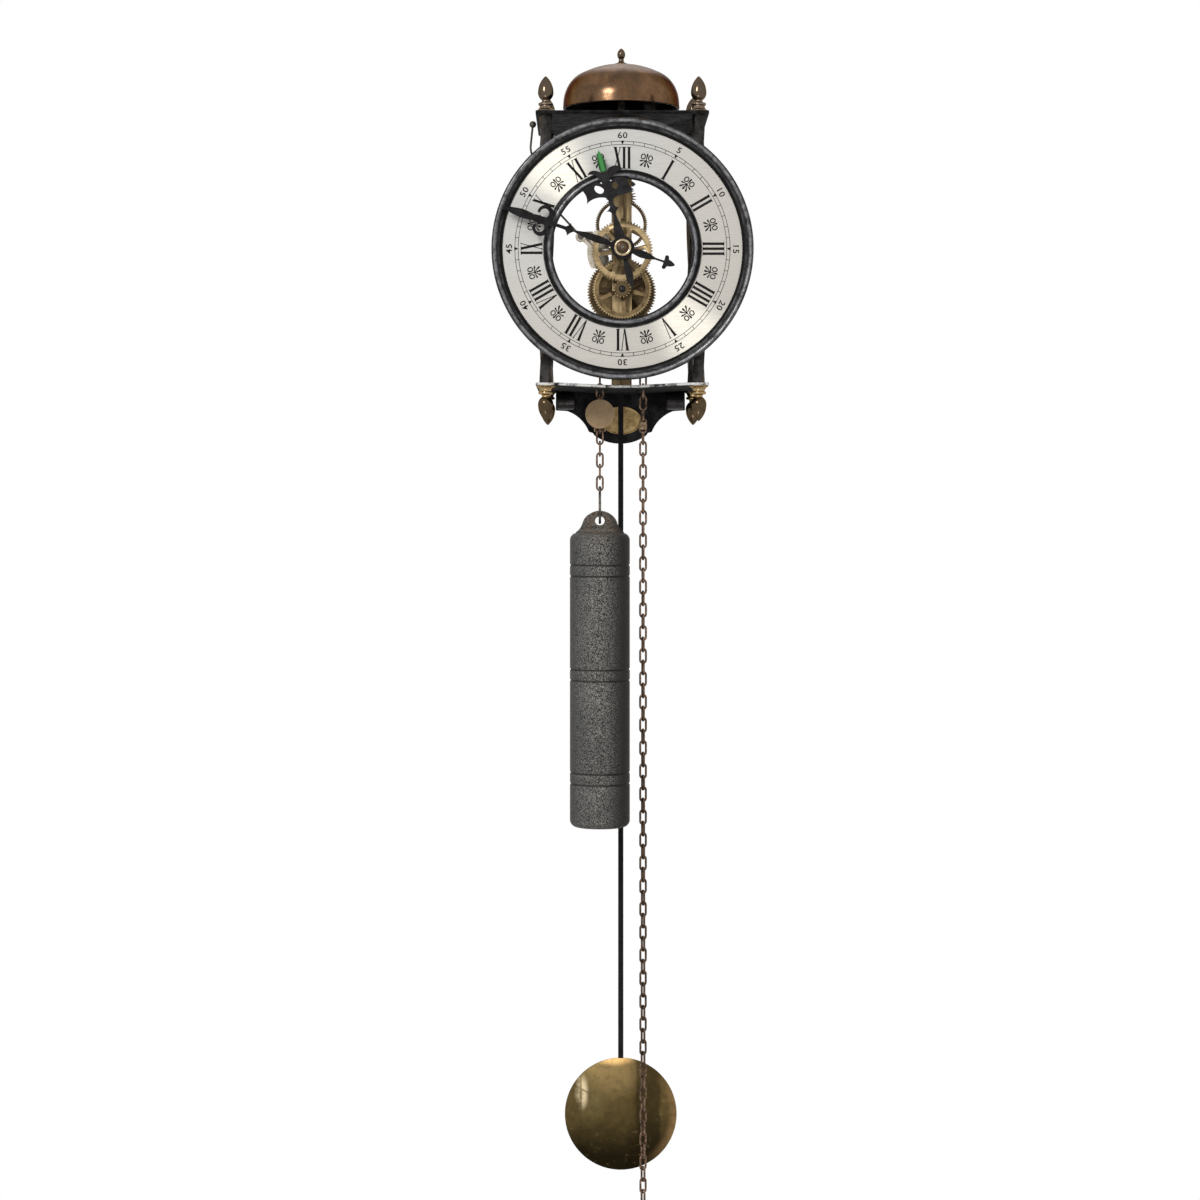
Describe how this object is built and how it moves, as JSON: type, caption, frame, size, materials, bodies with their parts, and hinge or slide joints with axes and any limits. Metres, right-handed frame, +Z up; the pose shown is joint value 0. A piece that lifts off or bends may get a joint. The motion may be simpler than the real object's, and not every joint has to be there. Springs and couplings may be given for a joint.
{
  "type": "wall clock",
  "caption": "Open-frame skeleton wall clock: ring dial with pierced hands, visible wheel train, bell on top, chain-driven cylinder weight and a swinging pendulum.",
  "frame": {"origin": "centre of the hanging hole in the hanger strap, at its wall face", "axes": "+Z up, the dial faces -Y, the wall is the plane Y = 0"},
  "size_m": [0.1502, 0.1102, 0.715],
  "materials": {
    "iron": "black, worn to pewter on the edges",
    "finial_brass": "dark aged brass",
    "dial_silver": "satin silver with black print",
    "ring_pewter": "dark pewter, with a polished ridge",
    "bell_bronze": "aged copper-brown",
    "hand_black": "black",
    "wheel_brass": "aged brass",
    "steel": "dull steel",
    "lever_nickel": "pale nickel",
    "chain_brass": "brown-grey aged brass",
    "disc_bronze": "pale tan bronze",
    "plaque_brass": "aged brass, bare",
    "weight_iron": "grey cast iron",
    "rod_brass": "aged brass",
    "bob_brass": "aged brass with a dark patina"
  },
  "bodies": {
    "frame": {"bottom_plate": "iron", "top_plate": "iron", "pillars": "iron", "finials_top": "finial_brass", "finials_bottom": "finial_brass", "dial": "dial_silver", "bezel": "ring_pewter", "bead_ring": "ring_pewter", "front_bar": "wheel_brass", "rear_bar": "wheel_brass", "minute_post": "steel", "apron": "iron", "plaque": "plaque_brass", "apron_rolls": "iron", "wall_hanger": "iron", "wall_pads": "iron", "bell": "bell_bronze", "bell_post": "steel", "bell_nut": "finial_brass", "hammer_bracket": "iron", "suspension_cock": "wheel_brass", "lever_cock": "wheel_brass", "lever_screw": "steel"},
    "centre": {"centre_arbor": "steel", "centre_wheel": "wheel_brass", "cannon_pinion": "wheel_brass", "strike_cam": "wheel_brass", "minute_hand": "hand_black", "hand_collet": "wheel_brass", "hand_nut": "wheel_brass"},
    "hour": {"hour_wheel": "wheel_brass", "hour_hand": "hand_black"},
    "minute": {"minute_wheel": "wheel_brass"},
    "great": {"great_arbor": "steel", "great_wheel": "wheel_brass"},
    "click_arm": {"click": "steel"},
    "third": {"third_arbor": "steel", "third_wheel": "wheel_brass"},
    "escape": {"escape_arbor": "steel", "escape_wheel": "wheel_brass"},
    "pallet_set": {"pallet_arbor": "steel", "pallets": "steel", "crutch": "steel"},
    "pendulum": {"suspension_spring": "steel", "rod_end_block": "wheel_brass", "pendulum_rod": "rod_brass", "bob": "bob_brass"},
    "nut": {"rating_nut": "wheel_brass"},
    "weight_set": {"weight": "weight_iron", "weight_hook": "steel", "chain_weight_side": "chain_brass", "stop_disc": "disc_bronze"},
    "free_chain": {"chain_free_side": "chain_brass", "joining_link": "chain_brass", "chain_end_ring": "chain_brass"},
    "sprocket_set": {"sprocket": "wheel_brass", "chain_on_sprocket": "chain_brass"},
    "hammer_arm": {"hammer": "steel"},
    "lever_arm": {"strike_lever": "lever_nickel"}
  },
  "joints": [
    {"name": "centre_spin", "type": "hinge", "parent": "frame", "child": "centre", "pos_m": [0, -0.073, -0.098], "axis": [0, 1, 0], "continuous": true},
    {"name": "hour_spin", "type": "hinge", "parent": "frame", "child": "hour", "pos_m": [0, -0.087, -0.098], "axis": [0, 1, 0], "continuous": true},
    {"name": "minute_wheel_spin", "type": "hinge", "parent": "frame", "child": "minute", "pos_m": [0, -0.084, -0.12], "axis": [0, 1, 0], "continuous": true},
    {"name": "great_spin", "type": "hinge", "parent": "frame", "child": "great", "pos_m": [0, -0.064, -0.12], "axis": [0, 1, 0], "continuous": true},
    {"name": "click_turn", "type": "hinge", "parent": "great", "child": "click_arm", "pos_m": [0.01005, -0.0596, -0.1142], "axis": [0, 1, 0], "range_deg": [-1.5, 8], "stiffness_Nm_per_rad": 0.005},
    {"name": "third_spin", "type": "hinge", "parent": "frame", "child": "third", "pos_m": [0, -0.051, -0.079], "axis": [0, 1, 0], "continuous": true},
    {"name": "escape_spin", "type": "hinge", "parent": "frame", "child": "escape", "pos_m": [0, -0.043, -0.0622], "axis": [0, 1, 0], "continuous": true},
    {"name": "pendulum_swing", "type": "hinge", "parent": "frame", "child": "pendulum", "pos_m": [0, -0.022, -0.05], "axis": [0, 1, 0], "range_deg": [-2.5, 2.5]},
    {"name": "pallet_swing", "type": "hinge", "parent": "frame", "child": "pallet_set", "pos_m": [0, -0.043, -0.05], "axis": [0, 1, 0], "range_deg": [-2.5, 2.5]},
    {"name": "nut_turn", "type": "hinge", "parent": "pendulum", "child": "nut", "pos_m": [0, -0.022, -0.6239], "axis": [0, 0, 1], "continuous": true},
    {"name": "weight_drop", "type": "slide", "parent": "frame", "child": "weight_set", "axis": [0, 0, 1], "range_m": [-0.002, 0.0035]},
    {"name": "chain_rise", "type": "slide", "parent": "frame", "child": "free_chain", "axis": [0, 0, 1], "range_m": [-0.0035, 0.002]},
    {"name": "sprocket_turn", "type": "hinge", "parent": "frame", "child": "sprocket_set", "pos_m": [0, -0.055, -0.12], "axis": [0, 1, 0], "range_deg": [-10, 17]},
    {"name": "hammer_swing", "type": "hinge", "parent": "frame", "child": "hammer_arm", "pos_m": [0.0174, -0.038, -0.028], "axis": [1, 0, 0], "range_deg": [-2, 18], "stiffness_Nm_per_rad": 0.05},
    {"name": "lever_lift", "type": "hinge", "parent": "frame", "child": "lever_arm", "pos_m": [-0.024, -0.081, -0.089], "axis": [0, -1, 0], "range_deg": [0, 6]}
  ],
  "couplings": [
    {"joint": "hour_spin", "follows": "centre_spin", "ratio": 0.083333},
    {"joint": "minute_wheel_spin", "follows": "centre_spin", "ratio": -0.3125},
    {"joint": "great_spin", "follows": "centre_spin", "ratio": -0.11111},
    {"joint": "third_spin", "follows": "centre_spin", "ratio": -9},
    {"joint": "escape_spin", "follows": "centre_spin", "ratio": 81},
    {"joint": "pallet_swing", "follows": "pendulum_swing", "ratio": 1},
    {"joint": "chain_rise", "follows": "weight_drop", "ratio": -1},
    {"joint": "sprocket_turn", "follows": "weight_drop", "rad_per_m": 78.43}
  ]
}
